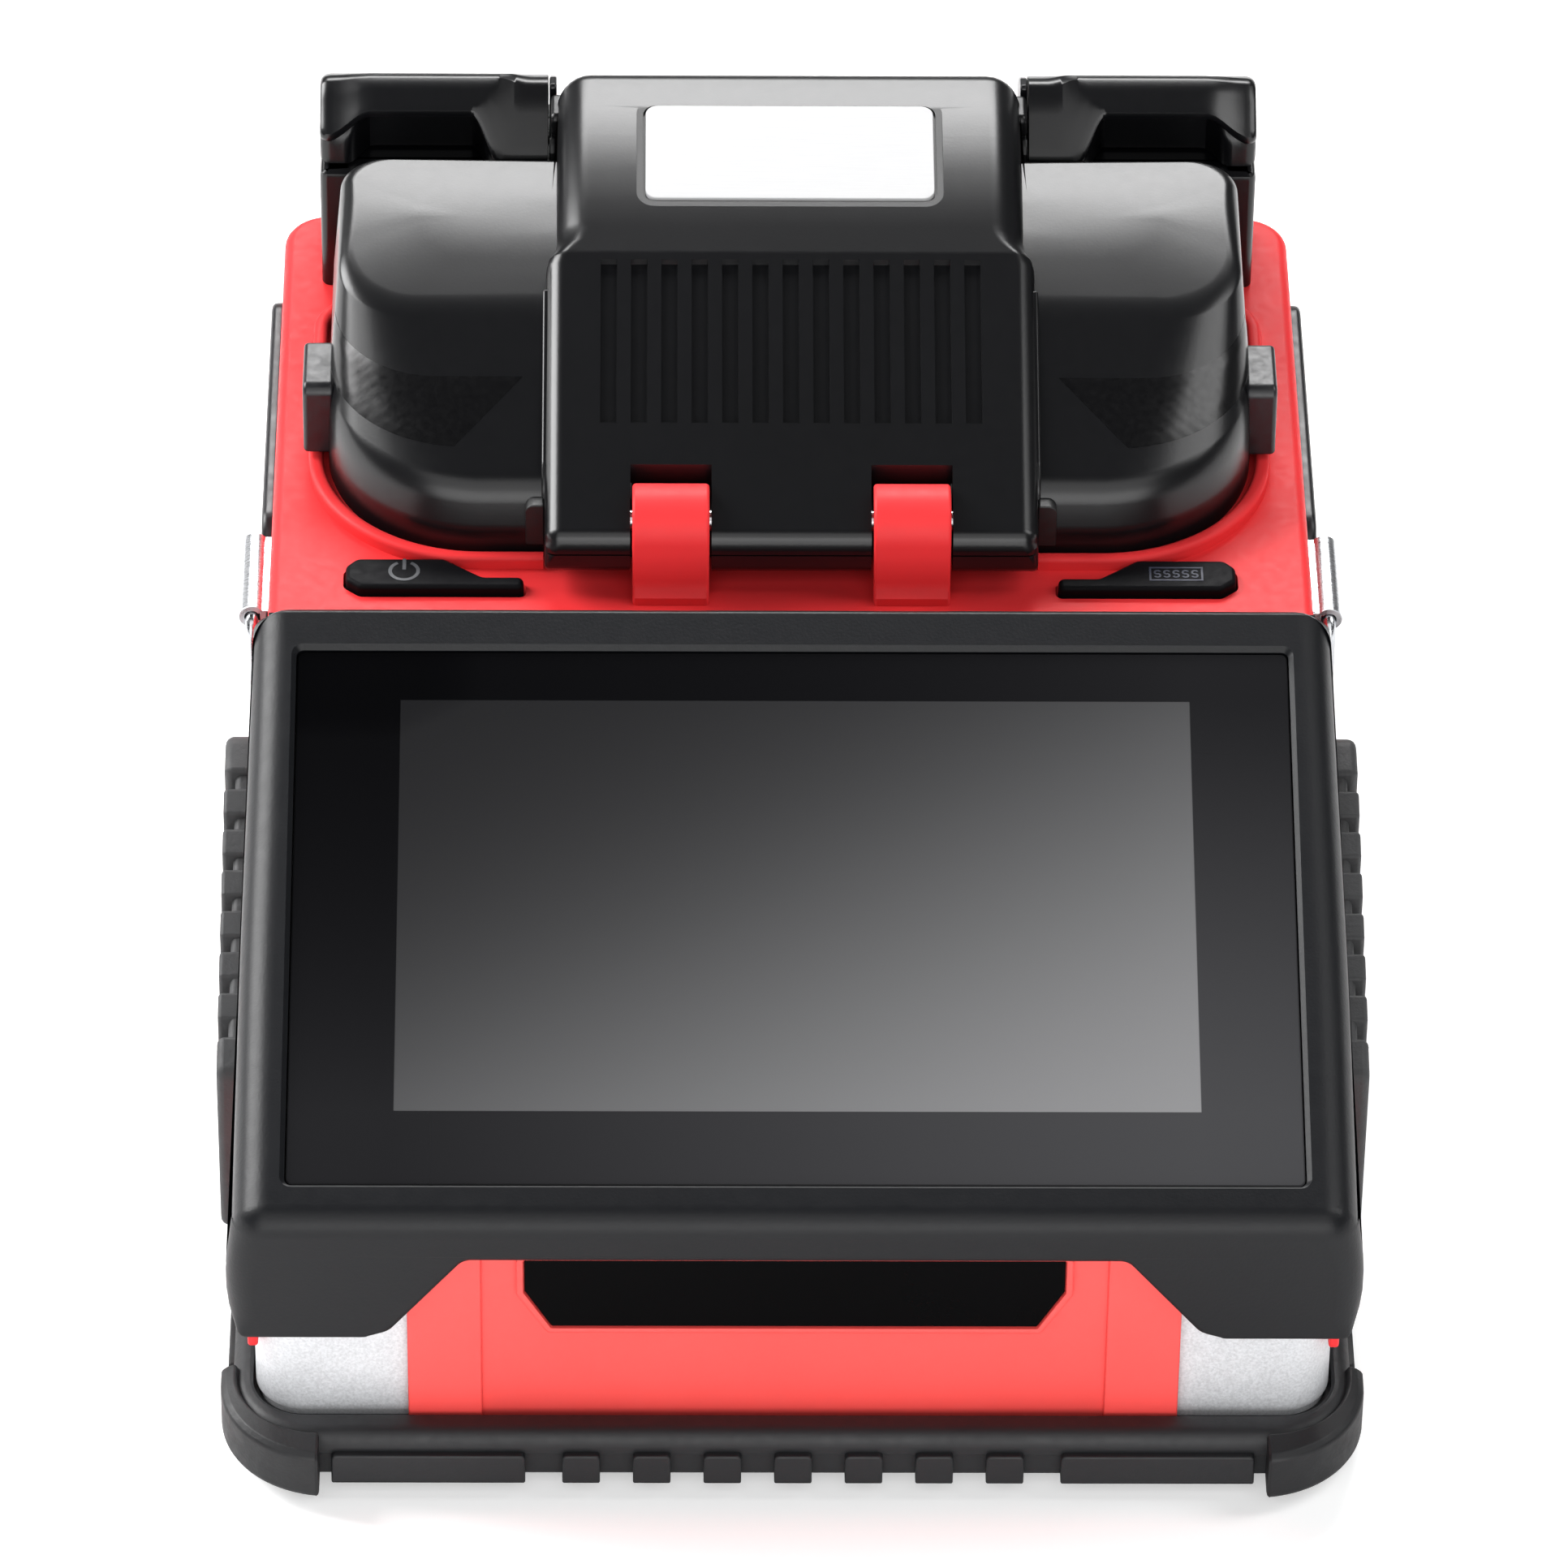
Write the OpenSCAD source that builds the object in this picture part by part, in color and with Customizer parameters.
// Fibre fusion splicer: a portable case with a tilting display, a hinged wind
// cover over the splicing chamber and a sleeve heater along the rear edge.
// X runs left to right, Y from the front to the rear, Z up.
// The origin lies on the ground plane, under the centre of the whole machine.
// Parts are laid out with Y = 0 on the front panel face; place() centres them.

/* [Case] */
// Half of the case width
case_half = 72.2; // [72:0.1:72.4]
// Front face of the metal tub, measured back from the front panel face
case_front = 1.5; // [1.4:0.1:1.6]
// Rear face of the case
case_rear = 190.5; // [190:0.5:190.5]
// Vertical corner radius of the case
case_corner = 6; // [4:0.5:8]
// Wall thickness of the case mouldings
wall = 2.2; // [1.8:0.1:2.4]
// Underside of the metal tub
tub_bottom = 4.5; // [4.5:0.1:4.6]
// Parting line between metal tub and upper case
split_z = 30; // [28:1:32]
// Height of the deck around the wind cover
deck_z = 70; // [70:0.1:70.1]

/* [Rubber boot] */
// Half of the boot width
boot_half = 76; // [75.5:0.1:76.4]
// Proud distance of the front skirt
boot_front = 5; // [4.5:0.1:5.5]
// Height of the boot rim
boot_top = 10.8; // [10:0.1:11.5]
// Number of raised ribs on the front skirt
rib_count = 7; // [3:1:7]
// Pitch of the raised ribs
rib_pitch = 9.55; // [9:0.05:10]
// Half width over the corner guards
guard_half = 77.6; // [77:0.1:78]

/* [Display] */
// Tilt of the folded display
tilt = 18.3; // [18.3:0.1:18.4]
// Half of the display width
display_half = 75; // [75:0.1:75.4]
// Thickness of the display body
display_t = 9.5; // [9:0.1:9.5]
// Depth of the side skirts
skirt_depth = 15; // [13:0.5:15]
// Half width of the glass
glass_half = 68; // [66:0.5:68.5]
// Front edge of the glass, along the face
glass_front = 5.4; // [5:0.1:6]
// Rear edge of the glass, along the face
glass_rear = 89.5; // [88:0.1:89.6]
// Width of the picture area
picture_w = 108; // [100:0.5:108]
// Height of the picture area
picture_h = 64.8; // [60:0.1:65]

/* [Wind cover] */
// Half of the wind cover width
cover_half = 65; // [64:0.1:65.1]
// Wall thickness of the wind cover
cover_wall = 2.2; // [1.8:0.1:2.4]
// Half of the centre block width
block_half = 33; // [32:0.1:33.2]
// Number of slots in the centre block
slot_count = 13; // [5:1:13]
// Pitch of the slots
slot_pitch = 4.25; // [4:0.05:4.3]
// Radius of the hinge pin
pin_r = 1.5; // [1.4:0.05:1.6]
// Radial running clearance of pins
pin_play = 0.06; // [0.02:0.01:0.1]

/* [Heater] */
// Half of the heater housing width
heater_half = 67; // [66:0.5:67]
// Front face of the heater housing
heater_front = 173; // [172.8:0.1:173.2]
// Parting height of the heater housing and its lids
heater_top = 90; // [89.8:0.1:90]

/* [Hidden] */
$fn = 64;

// Two-number values are [low, high] ranges along one axis
function around(middle, half) = [middle - half, middle + half];
function across(half) = around(0, half);
function grow(range, gap) = [range[0] - gap, range[1] + gap];
function length(range) = range[1] - range[0];
// Place of item i in a row centred on zero
function in_row(i, count, pitch) = (i - (count - 1) / 2) * pitch;

mid_y = 95;
case_y = [case_front, case_rear];
close_fit = 0.015; // radial gap of a pin in its fixed seat

// Display: fold line at the front, and the hinge axis along and normal to the face
fold_y = -2.5;
fold_z = 48.3;
pin_along = 88.9;
pin_normal = -6.5;
rear_r = 9.3; // rounded rear edge, about the hinge axis
tilt_slope = tan(tilt);
display_pin_y = fold_y + pin_along * cos(tilt) - pin_normal * sin(tilt);
display_pin_z = fold_z + pin_along * sin(tilt) + pin_normal * cos(tilt);

// Wind cover: hinge axis and the fixed knuckles on it
cover_pin_y = 107;
cover_pin_z = 79.5;
cover_pin_half = 29.5;
knuckle_x = [11.4, 21.9];
knuckle_r = 6;

// Openings in the deck
chamber_half = 57;
chamber_y = [116, 165];
well_half = 31.5; // heater well
well_y = [176.2, 186.4];

case_red = [0.88, 0.2, 0.22];
board_green = [0.1, 0.35, 0.2];
pin_grey = [0.7, 0.71, 0.73];

// ---------------------------------------------------------------- helpers
module place() { translate([0, -mid_y, 0]) children(); }
module flip_x() { mirror([1, 0, 0]) children(); }
module both_sides() {
    children();
    flip_x() children();
}
// display face frame: X across, Y along the face from the fold, Z out of the face
module on_face() { translate([0, fold_y, fold_z]) rotate([tilt, 0, 0]) children(); }

module rounded_rect(half, ys, r) {
    union() {
        translate([-half + r, ys[0]]) square([2 * (half - r), length(ys)]);
        translate([-half, ys[0] + r]) square([2 * half, length(ys) - 2 * r]);
        for (x = [-half + r, half - r]) for (y = [ys[0] + r, ys[1] - r]) translate([x, y]) circle(r);
    }
}
// plan outline with different front and rear corner radii
module cover_plan(half, ys, front_r, rear_r) {
    union() {
        translate([-half + front_r, ys[0]])
            square([2 * (half - front_r), length(ys)]);
        translate([-half, ys[0] + front_r])
            square([2 * half, length(ys) - front_r - rear_r]);
        translate([-half + rear_r, ys[0] + front_r])
            square([2 * (half - rear_r), length(ys) - front_r]);
        for (side = [-1, 1]) {
            translate([side * (half - front_r), ys[0] + front_r]) circle(front_r);
            translate([side * (half - rear_r), ys[1] - rear_r]) circle(rear_r);
        }
    }
}
// extrude a (Y, Z) profile along X
module extrude_x(xs) {
    translate([xs[0], 0, 0]) rotate([90, 0, 90]) linear_extrude(length(xs)) children();
}
// extrude an (X, Z) profile forward from a rear face
module extrude_forward(rear_y, depth) {
    translate([0, rear_y, 0]) rotate([90, 0, 0]) linear_extrude(depth) children();
}
module extrude_z(zs) { translate([0, 0, zs[0]]) linear_extrude(length(zs)) children(); }
module slab(half, ys, zs, r) { extrude_z(zs) rounded_rect(half, ys, r); }
module box(xs, ys, zs) {
    translate([xs[0], ys[0], zs[0]]) cube([length(xs), length(ys), length(zs)]);
}
module rod_x(xs, y, z, r) {
    translate([xs[0], y, z]) rotate([0, 90, 0]) cylinder(r = r, h = length(xs));
}
module rod_y(x, ys, z, r) {
    translate([x, ys[0], z]) rotate([-90, 0, 0]) cylinder(r = r, h = length(ys));
}
module rod_z(x, y, zs, r) { translate([x, y, zs[0]]) cylinder(r = r, h = length(zs)); }

// ---------------------------------------------------------------- base
boot_bottom = 2.5;
boot_y = [-boot_front, case_rear + 4.5];
boot_corner = 12;
tub_floor = tub_bottom + 2.5;
boss_z = [tub_bottom + 2, 12];
screw_x = 50;
screw_y = [mid_y - 69, mid_y, mid_y + 69];
plate_half = 54;
plate_y = around(mid_y, 78.2);
plate_bottom = 2.7;
plate_gap = 0.4;
insert_r = 5;
port_half = 18;
port_z = [14, 26];

module at_screws() { for (x = [-screw_x, screw_x]) for (y = screw_y) translate([x, y, 0]) children(); }

module rubber_feet() {
    color([0.12, 0.12, 0.13]) place()
        for (x = [-62, 62]) for (y = around(mid_y, 83)) rod_z(x, y, [0, boot_bottom], 7);
}
module boot() {
    color([0.16, 0.16, 0.17]) place() difference() {
        union() {
            slab(boot_half, boot_y, [boot_bottom, boot_top], boot_corner);
            for (i = [0:rib_count - 1])
                box(around(in_row(i, rib_count, rib_pitch), 2.6),
                    [-boot_front - 0.9, -boot_front + 1], [boot_bottom, 6.6]);
        }
        // seat of the tub, with a wider step at the rim
        slab(case_half + 0.2, grow(case_y, 0.2), [tub_bottom, boot_top + 1], case_corner + 0.2);
        slab(case_half + 0.9, [-0.5, case_rear + 0.9], [9, boot_top + 1], case_corner + 1);
        // opening for the bottom plate
        slab(plate_half + plate_gap, grow(plate_y, plate_gap), [0, boot_top], 4);
        // shallow pockets in the front skirt
        both_sides() box([37, 59], [-boot_front - 1, -boot_front + 0.8], [3.6, 7]);
    }
}
module corner_guards() {
    cut_z = [2, 13];
    color([0.11, 0.11, 0.12]) place() difference() {
        slab(guard_half, [-9, case_rear + 8.5], [2.6, 12.4], 15);
        slab(boot_half, boot_y, cut_z, boot_corner);
        // leave only the four corners
        box(across(64), [-10, case_rear + 9], cut_z);
        box(across(90), [9, case_rear - 9], cut_z);
    }
}
module lower_tub() {
    color([0.84, 0.85, 0.86]) place() difference() {
        union() {
            difference() {
                slab(case_half, case_y, [tub_bottom, split_z], case_corner);
                slab(case_half - wall, grow(case_y, -wall), [tub_floor, split_z + 1], case_corner - wall);
            }
            at_screws() rod_z(0, 0, boss_z, 3.6);
            rod_z(0, mid_y, boss_z, 8);
            // bosses under the main board
            for (x = [-58, 58]) for (y = [104, 176]) rod_z(x, y, boss_z, 3);
        }
        at_screws() rod_z(0, 0, [tub_bottom - 1, 13], 1.52);
        rod_z(0, mid_y, [tub_bottom - 1, 14], insert_r + 0.02);
        box(across(port_half), [case_rear - wall - 1, case_rear + 1], port_z);
    }
}
module bottom_plate() {
    color([0.2, 0.2, 0.21]) place() difference() {
        slab(plate_half, plate_y, [plate_bottom, tub_bottom], 3.6);
        at_screws() rod_z(0, 0, [0, 6], 1.6);
        rod_z(0, mid_y, [0, 6], insert_r + 0.1);
        // row of seven slots
        for (i = [-3:3]) box(around(i * 9, 1.5), [40, 70], [0, 6]);
    }
}
module bottom_screws() {
    color([0.62, 0.63, 0.65]) place() at_screws() difference() {
        union() {
            rod_z(0, 0, [1.1, plate_bottom], 2.8);
            rod_z(0, 0, [plate_bottom, 11.5], 1.5);
        }
        // hexagon socket
        translate([0, 0, 1]) cylinder(r = 1.4, h = 1, $fn = 6);
    }
}
module tripod_insert() {
    color([0.78, 0.66, 0.38]) place() difference() {
        rod_z(0, mid_y, [plate_bottom, 12.8], insert_r);
        rod_z(0, mid_y, [2, 11.3], 3.18);
    }
}

// ---------------------------------------------------------------- upper case
// side profiles as (Y, Z) points: sloping front, step, then the deck
case_outline = [
    [case_front, split_z], [case_front, 38.6 + tilt_slope * case_front], [80, 65.05],
    [94.6, 65.05], [94.6, deck_z], [case_rear, deck_z], [case_rear, split_z]];
case_inside = [
    [case_front + wall, split_z - 2], [case_front + wall, 37.3], [66, 57.8], [97, 57.8],
    [97, deck_z - wall], [case_rear - wall, deck_z - wall], [case_rear - wall, split_z - 2]];

// left key in plan, grown by a gap
module key_plan(gap) {
    polygon([
        [-62 - gap, 101.9 - gap], [-62 - gap, 107 + gap], [-60.7 - gap, 108.4 + gap],
        [-48.3 + gap, 108.4 + gap], [-42.9 + gap, 104.4 + gap],
        [-37.2 + gap, 104.4 + gap], [-37.2 + gap, 101.9 - gap]]);
}
// room for the rounded rear edge of the display
module display_recess(xs) { rod_x(xs, display_pin_y, display_pin_z, rear_r + 0.6); }

module upper_case() {
    hole_z = [60, 80];
    color(case_red) place() difference() {
        union() {
            intersection() {
                slab(case_half, case_y, [split_z, deck_z + 1], case_corner);
                difference() {
                    extrude_x(across(80)) polygon(case_outline);
                    extrude_x(across(case_half - wall)) polygon(case_inside);
                }
            }
            // curb that the wind cover closes into
            difference() {
                extrude_z([deck_z - 1, deck_z + 2]) cover_plan(67.6, [107.8, 172.4], 24, 8);
                extrude_z([deck_z - 2, deck_z + 4]) cover_plan(65.7, [109.7, 172.9], 22.4, 8);
                box(across(34.5), [100, 180], [deck_z, 80]);
                box(across(70), [150, 180], [deck_z - 2, 80]);
            }
        }
        display_recess(across(80));
        slab(chamber_half, chamber_y, hole_z, 4);
        both_sides() extrude_z(hole_z) key_plan(0.3);
        slab(well_half, well_y, hole_z, 1);
    }
}

// name plate in front view, as (X, Z) points grown by a gap
module name_plate_outline(gap) {
    top = 38.3 + min(gap, 0.4);
    shoulder = 32.6 - gap * 0.5;
    foot = 32.6 + gap * 0.5;
    polygon([
        [-36.2 - gap, top], [36.2 + gap, top], [36.2 + gap, shoulder],
        [foot, 26.2 - gap], [-foot, 26.2 - gap], [-36.2 - gap, shoulder]]);
}
module front_panel() {
    panel_half = 52;
    panel_z = [9.1, 38.8];
    color([0.95, 0.28, 0.27]) place() difference() {
        union() {
            box(across(panel_half), [0.7, case_front], panel_z);
            both_sides() box([42, panel_half], [0, case_front], panel_z);
            // raised border of the name plate
            extrude_forward(0.8, 1) name_plate_outline(1);
        }
        extrude_forward(1.2, 3) name_plate_outline(0.1);
    }
}
module name_plate() {
    color([0.03, 0.03, 0.035]) place() extrude_forward(1.19, 1.1) name_plate_outline(0);
}

module side_cover() {
    difference() {
        extrude_x([case_half, case_half + 2])
            polygon([[121.5, 14], [121.5, 63], [124.5, 66], [174, 66], [177, 63], [177, 14]]);
        // six upright grooves
        for (i = [0:5]) box([case_half + 1.2, case_half + 3], [130 + i * 7, 133 + i * 7], [24, 52]);
    }
}
side_cover_black = [0.13, 0.13, 0.14];
module side_cover_right() { color(side_cover_black) place() side_cover(); }
module side_cover_left() { color(side_cover_black) place() flip_x() side_cover(); }

function grip_rib_top(y) = 32.4 + tilt_slope * y;
module side_grip() {
    bottom = 14;
    raised_x = [case_half, case_half + 6.1];
    difference() {
        union() {
            extrude_x([case_half, case_half + 4.6])
                polygon([[32, bottom], [32, 42.9], [84, 60.2], [88, 57], [88, bottom]]);
            // raised front and rear ends
            extrude_x(raised_x) polygon([[32, bottom], [32, 42.9], [38, 44.9], [38, bottom]]);
            extrude_x(raised_x)
                polygon([[78, bottom], [78, 58.2], [84, 60.2], [88, 57], [88, bottom]]);
            // raised ribs between them
            for (i = [0:5]) {
                front = 40.6 + i * 6.2;
                rear = front + 4;
                extrude_x(raised_x) polygon([
                    [front, bottom], [front, grip_rib_top(front)],
                    [rear, grip_rib_top(rear)], [rear, bottom]]);
            }
        }
        display_recess([case_half - 1, case_half + 8]);
    }
}
grip_black = [0.15, 0.15, 0.16];
module side_grip_right() { color(grip_black) place() side_grip(); }
module side_grip_left() { color(grip_black) place() flip_x() side_grip(); }

// strap ring, with its upper bar running through the bracket
ring_x = 75.05;
ring_y = [100.2, 119.4];
ring_z = [55, 66.4];
ring_r = 0.9;

module strap_bracket() {
    bracket_y = [101.5, 118];
    eye_z = ring_z[1];
    plate_x = [case_half, case_half + 1];
    difference() {
        union() {
            box(plate_x, bracket_y, [55, 67.6]);
            rod_y(ring_x, bracket_y, eye_z, 1.85);
            box([case_half, ring_x], bracket_y, [eye_z - 1.3, eye_z + 1.2]);
            for (y = [105.5, 114]) rod_x([plate_x[1], plate_x[1] + 0.9], y, 58.5, 1.8);
        }
        rod_y(ring_x, [100, 120], eye_z, ring_r + 0.06);
    }
}
bracket_grey = [0.66, 0.67, 0.69];
module strap_bracket_right() { color(bracket_grey) place() strap_bracket(); }
module strap_bracket_left() { color(bracket_grey) place() flip_x() strap_bracket(); }

module strap_ring() {
    union() {
        for (z = ring_z) rod_y(ring_x, ring_y, z, ring_r);
        for (y = ring_y) rod_z(ring_x, y, ring_z, ring_r);
        for (y = ring_y) for (z = ring_z) translate([ring_x, y, z]) sphere(ring_r);
    }
}
ring_grey = [0.72, 0.73, 0.75];
module strap_ring_right() { color(ring_grey) place() strap_ring(); }
module strap_ring_left() { color(ring_grey) place() flip_x() strap_ring(); }

// ---------------------------------------------------------------- wind cover hinge
module cover_hinge_knuckles() {
    color(case_red) place() both_sides() difference() {
        union() {
            rod_x(knuckle_x, cover_pin_y, cover_pin_z, knuckle_r);
            box(knuckle_x, [cover_pin_y - 6, cover_pin_y + 2.5], [deck_z, cover_pin_z]);
            box(knuckle_x, [cover_pin_y - 7.2, cover_pin_y - 5], [deck_z, deck_z + 1.6]);
        }
        rod_x([10, 24], cover_pin_y, cover_pin_z, pin_r + pin_play);
    }
}
module cover_hinge_pin() {
    color([0.75, 0.76, 0.78]) place() rod_x(across(cover_pin_half), cover_pin_y, cover_pin_z, pin_r);
}

// ---------------------------------------------------------------- display
face_t = 4; // thickness of the frame behind the face
arm_x = [62.5, 66.5]; // right hinge bracket
arm_r = 3.4;
arm_slot_x = grow(arm_x, 0.4);
arm_slot_y = [pin_along - 5.3, pin_along + 20];
glass_y = [glass_front, glass_rear];

// side profile from a front edge to the rounded rear edge, as (along, normal)
module display_profile(front, low, high) {
    intersection() {
        translate([front, low]) square([140, high - low]);
        union() {
            translate([front - 1, -40]) square([pin_along - front + 1, 60]);
            translate([pin_along, pin_normal]) circle(rear_r);
        }
    }
}
// front lip below the fold, as (Y, Z) points
lip_outline = [
    [fold_y, fold_z], [-3.35, 45.5], [-3.5, 27], [-0.5, 27],
    [-0.5, 41.5], [1.95, 45.45], [3.1, 50.1]];
// finger notch in the lip, as (X, Z) points
notch_outline = [[-44.3, 41], [44.3, 41], [55.3, 27], [56.5, 20], [-56.5, 20], [-55.3, 27]];

module display_frame() {
    color([0.2, 0.2, 0.21]) place() difference() {
        union() {
            difference() {
                on_face() extrude_x(across(display_half)) display_profile(0, -skirt_depth, 0);
                // hollow between the side skirts
                on_face() extrude_x(across(case_half + 0.5))
                    translate([-30, -face_t - 40]) square([200, 40]);
            }
            difference() {
                extrude_x(across(display_half)) polygon(lip_outline);
                extrude_forward(5, 15) polygon(notch_outline);
            }
        }
        // glass seat and picture opening
        on_face() slab(glass_half + 0.1, grow(glass_y, 0.1), [-3, 1], 1);
        on_face() slab(60.5, [12.6, 85.8], [-8, 1], 1);
        both_sides() on_face() box(arm_slot_x, arm_slot_y, [-20, -2.9]);
        // chamfers on the vertical front corners
        for (side = [-1, 1]) translate([side * display_half, -3.5, 20])
            rotate([0, 0, 45]) cube([5, 5, 80], center = true);
    }
}
module display_back() {
    color([0.17, 0.17, 0.18]) place() difference() {
        on_face() extrude_x(across(case_half)) display_profile(3.6, -display_t, -face_t);
        on_face() slab(61, [8, 86], [-display_t + 1.5, 0], 2);
        both_sides() on_face() box(arm_slot_x, arm_slot_y, [-20, 0]);
        both_sides() on_face() rod_x([58.5, 70.6], pin_along, pin_normal, pin_r + pin_play);
    }
}
module display_glass() {
    color([0.05, 0.05, 0.06, 0.9]) place() on_face() slab(glass_half, glass_y, [-2.95, -0.8], 0.9);
}
module lcd_panel() {
    color([0.25, 0.26, 0.28]) place() on_face() union() {
        box(across(59.5), [13, 85.4], [-6.4, -3.5]);
        box(across(picture_w / 2), around(49.2, picture_h / 2), [-3.6, -3.1]);
    }
}
module display_board() {
    color(board_green) place() on_face() union() {
        box(across(55), [18, 80], [-7.9, -6.5]);
        box([-30, -10], [30, 50], [-7.95, -7.85]);
    }
}
module display_hinge_brackets() {
    color([0.6, 0.61, 0.63]) place() both_sides() difference() {
        union() {
            rod_x(arm_x, display_pin_y, display_pin_z, arm_r);
            box(arm_x, around(display_pin_y, arm_r), [display_pin_z - 9.29, display_pin_z]);
        }
        rod_x([60, 70], display_pin_y, display_pin_z, pin_r + close_fit);
    }
}
module display_hinge_pins() {
    color(pin_grey) place() both_sides() rod_x([58.7, 70.4], display_pin_y, display_pin_z, pin_r);
}

// ---------------------------------------------------------------- keys
module key() {
    key_z = [66, 71];
    union() {
        extrude_z(key_z) key_plan(0);
        box([-61, -38], [101.2, 105], [key_z[0], 67.6]);
        // stepped-in top
        extrude_z([key_z[1], key_z[1] + 0.6]) key_plan(-0.5);
    }
}
key_black = [0.1, 0.1, 0.11];
module power_button() { color(key_black) place() key(); }
module heat_button() { color(key_black) place() flip_x() key(); }
module key_board() {
    color(board_green) place() union() {
        box(across(66), [99, 112], [59.9, 61.5]);
        // posts up to the deck, and one under each key
        for (x = [-65, 65]) rod_z(x, 105.5, [61, deck_z - wall], 2);
        for (x = [-50, 50]) rod_z(x, 103.4, [61, 65], 2.2);
    }
}

// ---------------------------------------------------------------- wind cover
cover_y = [110.3, 171];
cover_rim = 70.6;
cover_z = [60, 110]; // tall enough to be trimmed by the side profile
cover_black = [0.06, 0.06, 0.065];
// side profile of the shell as (Y, Z) points, from the front rim over to the rear
lobe_arch = [
    [cover_y[0], cover_rim], [110.5, 75], [112.4, 81], [115, 83.4], [136, 94.6],
    [139, 95.6], [166, 97], [169.5, 95.6], [cover_y[1], 92]];
lobe_inside = [
    [cover_y[0] + cover_wall, 69], [110.5 + cover_wall, 74.6], [112.4 + cover_wall, 80],
    [116, 81.4], [137, 92.6], [139.4, 93.4], [165.6, 94.8], [168, 93.4],
    [cover_y[1] - cover_wall, 91.4], [cover_y[1] - cover_wall, 69]];
// side profile of the centre block, as (Y, Z) points
block_outline = [
    [103.6, 73], [103.2, 75.4], [103.2, 78.6], [104.6, 81], [141, 99.4], [144, 100.2],
    [176.5, 103.4], [179.6, 102.2], [180.6, 99], [180.6, 92.5], [165, 92.5], [120, 80], [120, 73]];
label_half = 20.4;
label_y = [152.7, 172.3];
label_z = [90, 115];
latch_y = [174, 180];
latch_z = [95.5, 99.5];
knuckle_gap_x = grow(knuckle_x, 0.3);

module knuckle_gap() { both_sides() rod_x(knuckle_gap_x, cover_pin_y, cover_pin_z, knuckle_r + 0.4); }

module wind_cover_shell() {
    color(cover_black) place() difference() {
        intersection() {
            extrude_z(cover_z) cover_plan(cover_half, cover_y, 22, 8);
            extrude_x(across(80)) polygon(concat(lobe_arch, [[cover_y[1], cover_rim]]));
        }
        intersection() {
            extrude_z(cover_z) cover_plan(cover_half - cover_wall, grow(cover_y, -cover_wall), 20, 6);
            extrude_x(across(80)) polygon(lobe_inside);
        }
        knuckle_gap();
    }
}
module cover_center_block() {
    color(cover_black) place() difference() {
        extrude_x(across(block_half)) polygon(block_outline);
        // seats over the shell
        extrude_x(across(block_half + 1))
            polygon(concat([[cover_y[0], 60]], lobe_arch, [[cover_y[1], 60]]));
        // room for the fixed knuckles
        both_sides() box(knuckle_gap_x, [95, 112.3], [60, 120]);
        knuckle_gap();
        for (i = [0:slot_count - 1]) extrude_x(around(in_row(i, slot_count, slot_pitch), 1.15))
            polygon([[119.5, 87.53], [140, 97.89], [140, 110], [119.5, 110]]);
        // seat of the label plate
        intersection() {
            slab(label_half + 0.3, grow(label_y, 0.3), label_z, 1.8);
            extrude_x(across(30)) polygon([[140, 99.2], [182, 103.33], [182, 115], [140, 115]]);
        }
        both_sides() box([28.8, 36], grow(latch_y, 0.2), grow(latch_z, 0.2));
        rod_x(across(cover_pin_half + 0.1), cover_pin_y, cover_pin_z, pin_r + close_fit);
    }
}
module cover_label_plate() {
    color([0.85, 0.86, 0.87]) place() intersection() {
        slab(label_half, label_y, label_z, 1.6);
        extrude_x(across(30)) polygon([[140, 99.25], [182, 103.38], [182, 103.78], [140, 99.65]]);
    }
}
module cover_side_tabs() {
    color([0.08, 0.08, 0.09]) place() both_sides() union() {
        box([cover_half, 67.9], [138.5, 152], [73, 84]);
        box([cover_half, 68.6], [127, 138.5], [72.6, 80]);
    }
}
module latch() { box([30, 35], latch_y, latch_z); }
latch_black = [0.04, 0.04, 0.045];
module cover_latch_right() { color(latch_black) place() latch(); }
module cover_latch_left() { color(latch_black) place() flip_x() latch(); }

// ---------------------------------------------------------------- splicing chamber
splice_y = 140;
fibre_z = 65;
base_top = 60;
tray_bottom = 48;
tray_floor = 49.6;
tray_gap = 0.2;
tray_wall = 1.5;
lens_y = around(splice_y, 5.5);
rail_y = around(splice_y, 12.5);
rail_z = 56;
rail_r = 1.5;
electrode_r = 1;
electrode_z = fibre_z + 0.4;
motor_z = 55.5;

// the arms and the lamp hang inside the wind cover, trimmed by its inner surface
module fiber_press_arms() {
    color([0.3, 0.3, 0.31]) place() intersection() {
        union() {
            both_sides() box([4.6, 9.4], around(splice_y, 2), [66, 100]);
            box(across(9.4), around(splice_y, 6), [88, 100]);
        }
        extrude_x(across(20)) polygon(lobe_inside);
    }
}
module cover_lamp() {
    color([0.95, 0.95, 0.9]) place() intersection() {
        box(across(8), [150, 158], [92, 100]);
        extrude_x(across(20)) polygon(lobe_inside);
    }
}
module chamber_gasket() {
    color([0.1, 0.1, 0.1]) place() difference() {
        extrude_z([deck_z, deck_z + 0.5]) cover_plan(64.8, [110.5, 170.8], 21.8, 7.8);
        extrude_z([deck_z - 1, deck_z + 2]) cover_plan(62, [113.4, 168], 19, 5);
    }
}
module chamber_tray() {
    tray_half = chamber_half - tray_gap;
    tray_y = grow(chamber_y, -tray_gap);
    color([0.12, 0.12, 0.13]) place() difference() {
        slab(tray_half, tray_y, [tray_bottom, deck_z - 0.2], 3.8);
        slab(tray_half - tray_wall, grow(tray_y, -tray_wall), [tray_floor, deck_z + 1], 2.4);
        // notches for the fibre in the side walls
        both_sides() box([50, 60], around(splice_y, 2), [64, deck_z + 1]);
    }
}
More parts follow.
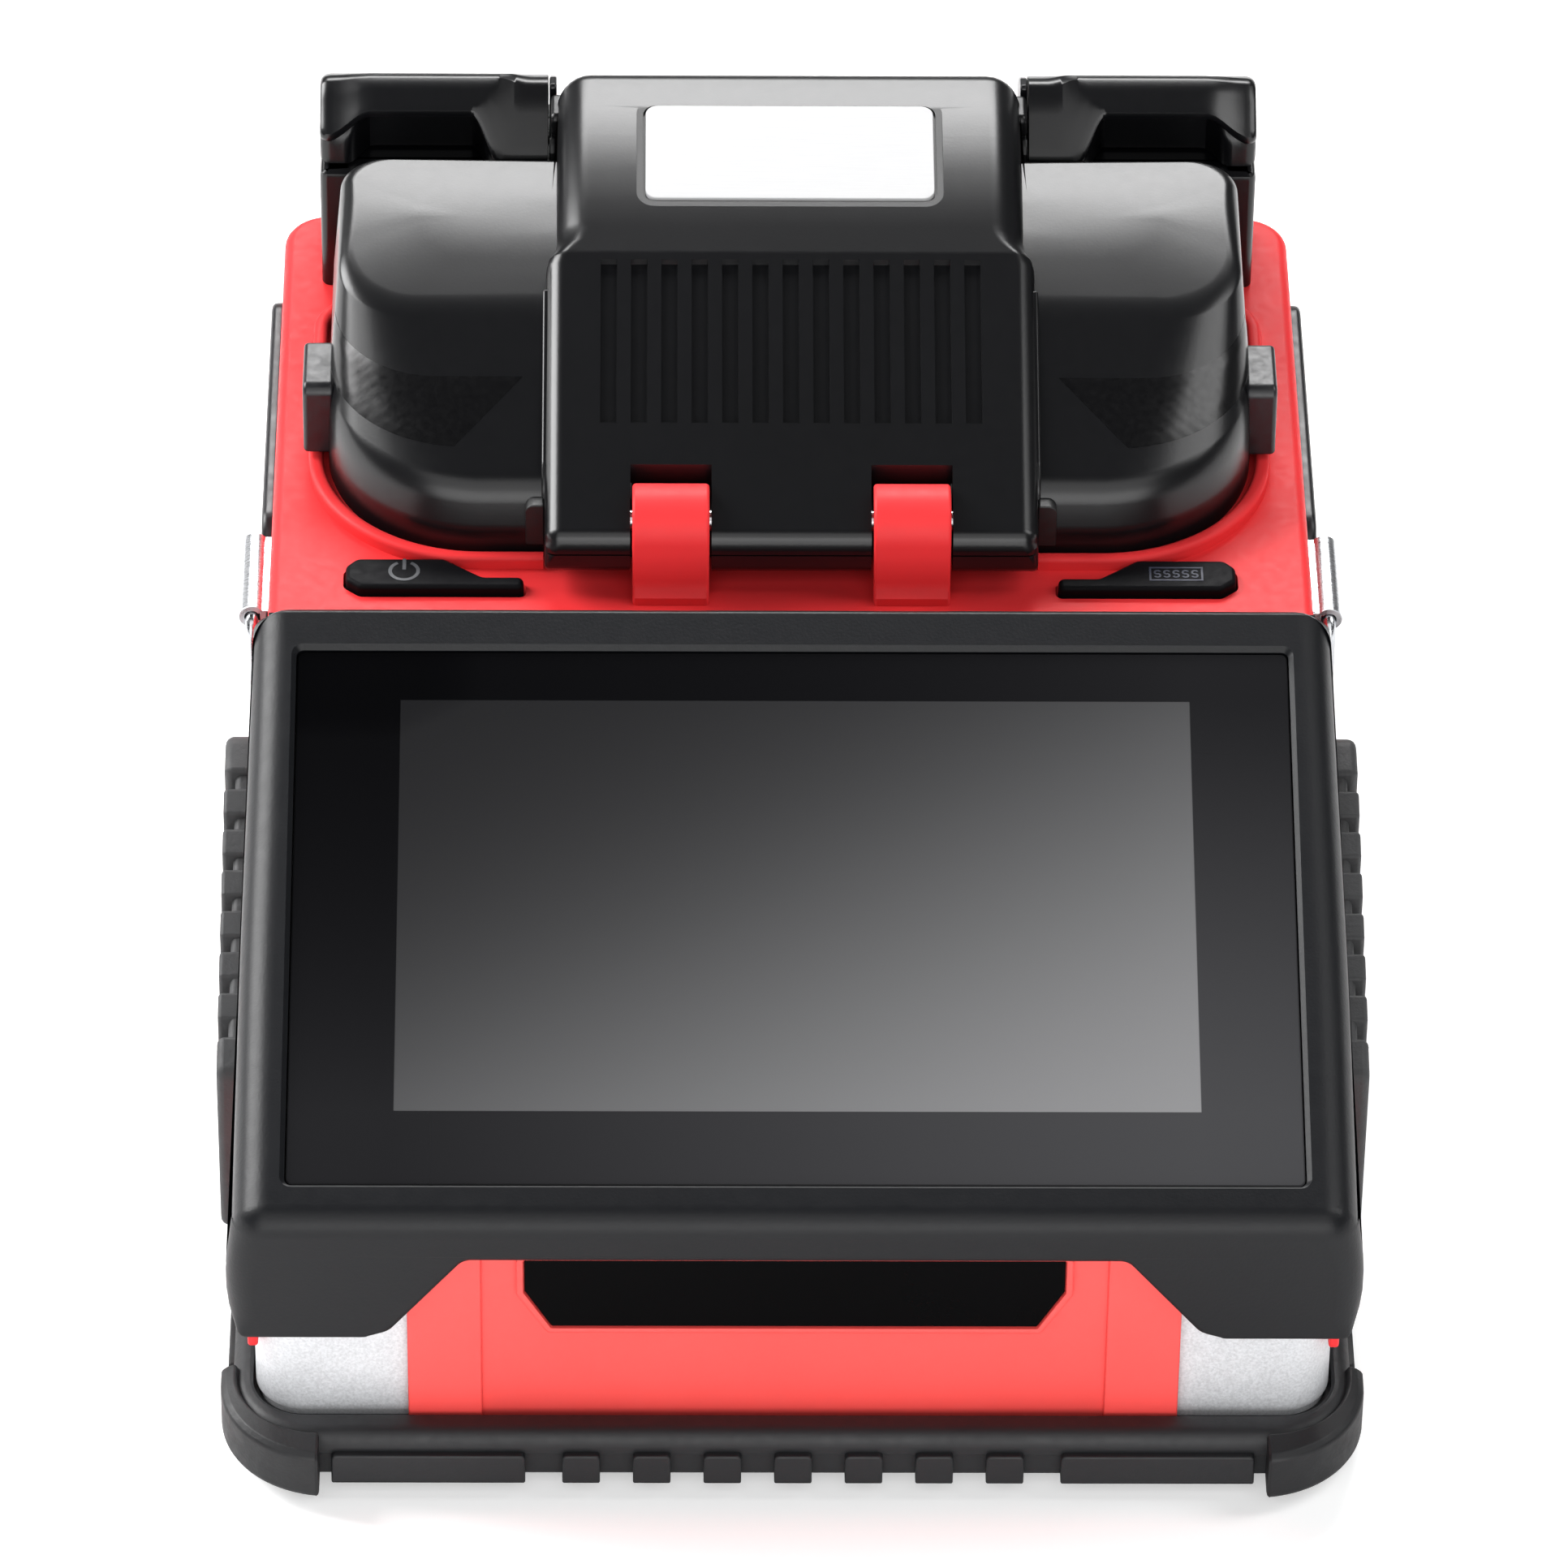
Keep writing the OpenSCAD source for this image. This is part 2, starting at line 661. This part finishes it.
module chamber_base() {
    color([0.72, 0.73, 0.75]) place() difference() {
        box(across(12), around(splice_y, 16), [tray_floor, base_top]);
        for (y = lens_y) rod_z(0, y, [48, 61], 3.3);
        both_sides() for (y = rail_y) rod_x([4, 13], y, rail_z, rail_r + 0.02);
    }
}
module v_groove_blocks() {
    color([0.93, 0.93, 0.9]) place() both_sides() difference() {
        box([4, 10], around(splice_y, 4.5), [base_top, fibre_z]);
        translate([7, splice_y, fibre_z]) rotate([45, 0, 0]) cube([8, 1.1, 1.1], center = true);
    }
}
module electrode_holders() {
    color([0.9, 0.9, 0.87]) place() difference() {
        union() {
            for (y = around(splice_y, 13)) box(across(2.6), around(y, 3), [base_top, 68]);
        }
        rod_y(0, [120, 160], electrode_z, electrode_r + 0.02);
    }
}
module electrodes() {
    // a front one, and the same turned about to face it
    color([0.5, 0.5, 0.52]) place() for (turn = [0, 180])
        translate([0, splice_y, electrode_z]) rotate([0, 0, turn]) {
            rod_y(0, [-17, -4], 0, electrode_r);
            translate([0, -4, 0]) rotate([-90, 0, 0])
                cylinder(r1 = electrode_r, r2 = 0.1, h = 3, $fn = 48);
        }
}
module objective_lenses() {
    color([0.15, 0.15, 0.17]) place() for (y = lens_y) difference() {
        rod_z(0, y, [50, 61.5], 3.25);
        rod_z(0, y, [60.6, 62], 2.4);
    }
}
module camera_board() {
    color(board_green) place() union() {
        box(across(18), around(splice_y, 16), [45, 46.6]);
        for (y = lens_y) box(across(4), around(y, 4), [46.5, tray_bottom]);
    }
}
module stage_rails() {
    color([0.78, 0.79, 0.8]) place() both_sides()
        for (y = rail_y) rod_x([4.2, 55.2], y, rail_z, rail_r);
}

stage_x = [15.5, 34.5];
stage_top = 64.4;
clamp_x = [19.8, 30.2]; // hinged rear part, between the stage lugs
clamp_pin_y = 149.3;
clamp_pin_z = 66;
clamp_pin_r = 0.8;

module stage() {
    bore_x = [14, 36];
    difference() {
        union() {
            box(stage_x, around(splice_y, 15.5), [52.5, 59.5]);
            box(stage_x, [132, 147], [59.4, stage_top]);
            // lugs for the clamp pins
            for (xs = [[17, 19.5], [30.5, 33]]) box(xs, [147, 151.6], [59.4, 68]);
        }
        for (y = rail_y) rod_x(bore_x, y, rail_z, rail_r + pin_play);
        // V groove along the fibre
        translate([25, splice_y, stage_top]) rotate([45, 0, 0]) cube([24, 1.2, 1.2], center = true);
        rod_x(bore_x, clamp_pin_y, clamp_pin_z, clamp_pin_r + pin_play);
    }
}
stage_grey = [0.68, 0.69, 0.71];
module stage_right() { color(stage_grey) place() stage(); }
module stage_left() { color(stage_grey) place() flip_x() stage(); }

module sheath_clamp() {
    top = 68.6;
    difference() {
        union() {
            box([17, 33], [132.5, 145.8], [64.6, top]);
            box(clamp_x, [145.5, clamp_pin_y], [64.9, top]);
            rod_x(clamp_x, clamp_pin_y, 66.9, 1.9);
            // front lip
            box([22, 28], [129.6, 133], [66, top]);
            for (xs = [[16.8, clamp_x[0]], [clamp_x[1], 33.2]])
                rod_x(xs, clamp_pin_y, clamp_pin_z, clamp_pin_r);
            rod_x(clamp_x, clamp_pin_y, clamp_pin_z, 1.6);
        }
        box([10, 40], [146.8, 155], [60, 64.2]);
    }
}
clamp_grey = [0.25, 0.25, 0.27];
module sheath_clamp_right() { color(clamp_grey) place() sheath_clamp(); }
module sheath_clamp_left() { color(clamp_grey) place() flip_x() sheath_clamp(); }

module stage_motors() {
    color([0.55, 0.56, 0.58]) place() both_sides() union() {
        rod_x([41.5, 55.3], splice_y, motor_z, 5);
        rod_x([38.6, 42], splice_y, motor_z, 1);
    }
}

// ---------------------------------------------------------------- heater
lid_pin_y = 188;
lid_pin_z = 93;
lid_pin_r = 1.2;
ear_x = [48, 52];
ear_r = 2.4;
heater_y = [heater_front, case_rear];
// lid side profile as (Y, Z) points
lid_outline = [
    [175.4, 90.5], [174.4, 95.4], [175.4, 98.9], [178, 100.6], [181.5, 100.6], [184.5, 98.8],
    [189.4, 95], [190.4, 93.6], [190.4, 93], [lid_pin_y, 93], [lid_pin_y, 90.5]];

module heater_housing() {
    color([0.07, 0.07, 0.075]) place() difference() {
        union() {
            difference() {
                slab(heater_half, heater_y, [deck_z, heater_top], 2.5);
                slab(heater_half - 2.4, grow(heater_y, -2.2), [deck_z - 1, heater_top - 2.2], 1.5);
            }
            // ears of the lid hinges
            both_sides() union() {
                rod_x(ear_x, lid_pin_y, lid_pin_z, ear_r);
                box(ear_x, around(lid_pin_y, ear_r), [heater_top - 1, lid_pin_z]);
            }
        }
        // heater trough opening and the fibre grooves beside it
        slab(well_half, well_y, [60, heater_top + 1], 1);
        both_sides() translate([50, 181.3, heater_top])
            rotate([45, 0, 0]) cube([40, 1.6, 1.6], center = true);
        both_sides() rod_x([40, 60], lid_pin_y, lid_pin_z, lid_pin_r + close_fit);
    }
}
module heater_trough() {
    color([0.7, 0.71, 0.72]) place() difference() {
        box(across(well_half - 0.3), grow(well_y, -0.3), [deck_z - 4, heater_top - 1]);
        box(across(32), [178, 184.6], [heater_top - 11, heater_top + 1]);
    }
}
module heater_lid() {
    lid_x = [36.4, heater_half];
    difference() {
        union() {
            extrude_x(lid_x) polygon(lid_outline);
            rod_x(lid_x, lid_pin_y, lid_pin_z, ear_r);
        }
        // finger scoop under the front lip
        extrude_x([40, 62]) polygon([[170, 90], [179, 90], [179, 93.2], [177, 95], [170, 96]]);
        box(grow(ear_x, 0.4), [lid_pin_y - 3.2, 200], [80, 101]);
        rod_x([30, heater_half - 6], lid_pin_y, lid_pin_z, lid_pin_r + pin_play);
    }
}
lid_black = [0.08, 0.08, 0.085];
module heater_lid_right() { color(lid_black) place() heater_lid(); }
module heater_lid_left() { color(lid_black) place() flip_x() heater_lid(); }
module heater_lid_pins() {
    color(pin_grey) place() both_sides() rod_x([40.5, 59.5], lid_pin_y, lid_pin_z, lid_pin_r);
}

// ---------------------------------------------------------------- electronics
module battery_pack() {
    color([0.15, 0.25, 0.5]) place() union() {
        box(across(42), [12, 84], [tub_floor, 31]);
        // small block on the rear face
        box(across(10), [83, 87], [12, 20]);
    }
}
module main_board() {
    part_bottom = 13.5; // slightly sunk into the board
    color(board_green) place() union() {
        box(across(64), [103.2, 182], [boss_z[1], 13.6]);
        box([-20, 12], [112, 144], [part_bottom, 17]);
        box([26, 58], [112, 160], [part_bottom, 36]);
        rod_z(-40, 130, [part_bottom, 30], 8);
    }
}
module port_panel() {
    hole_y = [case_rear - 6, case_rear + 2];
    color([0.1, 0.1, 0.11]) place() difference() {
        union() {
            box(across(22), [case_rear, case_rear + 1], [12.5, 27.5]);
            box(across(port_half - 0.2), [case_rear - 8, case_rear + 0.5], grow(port_z, -0.2));
        }
        // a round and a rectangular socket
        rod_y(-9, hole_y, 20, 3);
        box([4, 14], hole_y, [17.8, 22.2]);
    }
}

rubber_feet();
boot();
corner_guards();
lower_tub();
bottom_plate();
bottom_screws();
tripod_insert();
upper_case();
front_panel();
name_plate();
side_cover_left();
side_cover_right();
side_grip_left();
side_grip_right();
strap_bracket_left();
strap_bracket_right();
strap_ring_left();
strap_ring_right();
cover_hinge_knuckles();
display_hinge_brackets();
display_hinge_pins();
display_frame();
display_back();
display_glass();
lcd_panel();
display_board();
power_button();
heat_button();
key_board();
wind_cover_shell();
cover_center_block();
cover_label_plate();
cover_hinge_pin();
cover_side_tabs();
cover_latch_left();
cover_latch_right();
fiber_press_arms();
cover_lamp();
chamber_gasket();
chamber_tray();
chamber_base();
v_groove_blocks();
electrodes();
electrode_holders();
objective_lenses();
camera_board();
stage_rails();
stage_left();
stage_right();
sheath_clamp_left();
sheath_clamp_right();
stage_motors();
heater_housing();
heater_trough();
heater_lid_left();
heater_lid_right();
heater_lid_pins();
battery_pack();
main_board();
port_panel();
